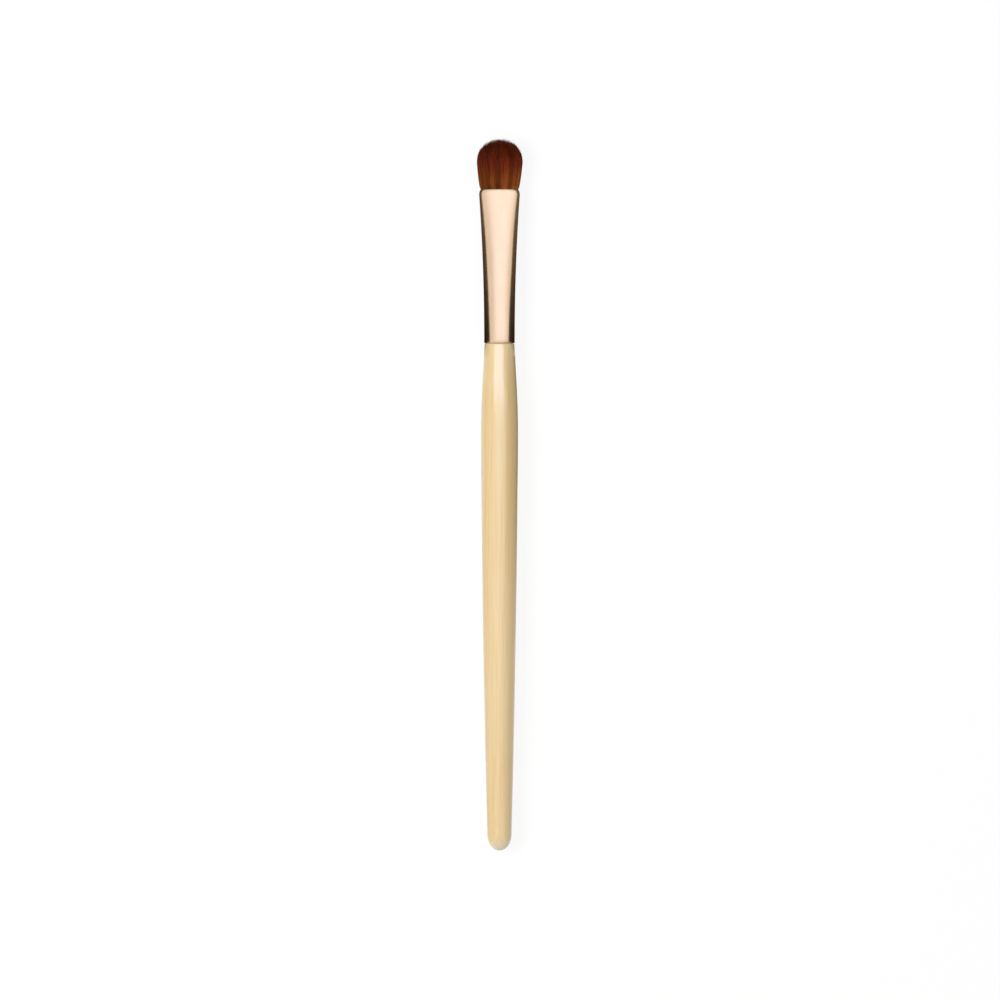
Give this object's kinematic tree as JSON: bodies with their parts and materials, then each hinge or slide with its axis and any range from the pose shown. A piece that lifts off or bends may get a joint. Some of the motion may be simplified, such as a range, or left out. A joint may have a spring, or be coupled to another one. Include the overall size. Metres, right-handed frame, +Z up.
{
  "type": "eyeshadow brush",
  "caption": "Eyeshadow brush with a filbert tuft of dark brown hair in a flattened rose-gold ferrule on a slim spindle-shaped handle of pale lacquered wood.",
  "frame": {"origin": "centre of the brush's box, on the flat surface that the handle's belly rests on", "axes": "+Y along the brush from the butt to the hair, +X across the broad way of the ferrule and the tuft, +Z up, square to the flat side of the ferrule"},
  "size_m": [0.0102, 0.16, 0.0083],
  "materials": {
    "lacquered_wood": "satin clear lacquer over pale straight-grained wood",
    "rose_gold_metal": "satin rose-gold plating",
    "brown_hair": "soft reddish brown hair, lighter at the root",
    "waxed_thread": "waxed thread wound tight",
    "cast_resin": "clear amber resin, cast in place",
    "wood_glue": "dried pale glue"
  },
  "bodies": {
    "root": {"handle": "lacquered_wood", "ferrule": "rose_gold_metal", "hair_tuft": "brown_hair", "tie_thread": "waxed_thread", "root_resin": "cast_resin", "handle_glue": "wood_glue"}
  },
  "joints": []
}
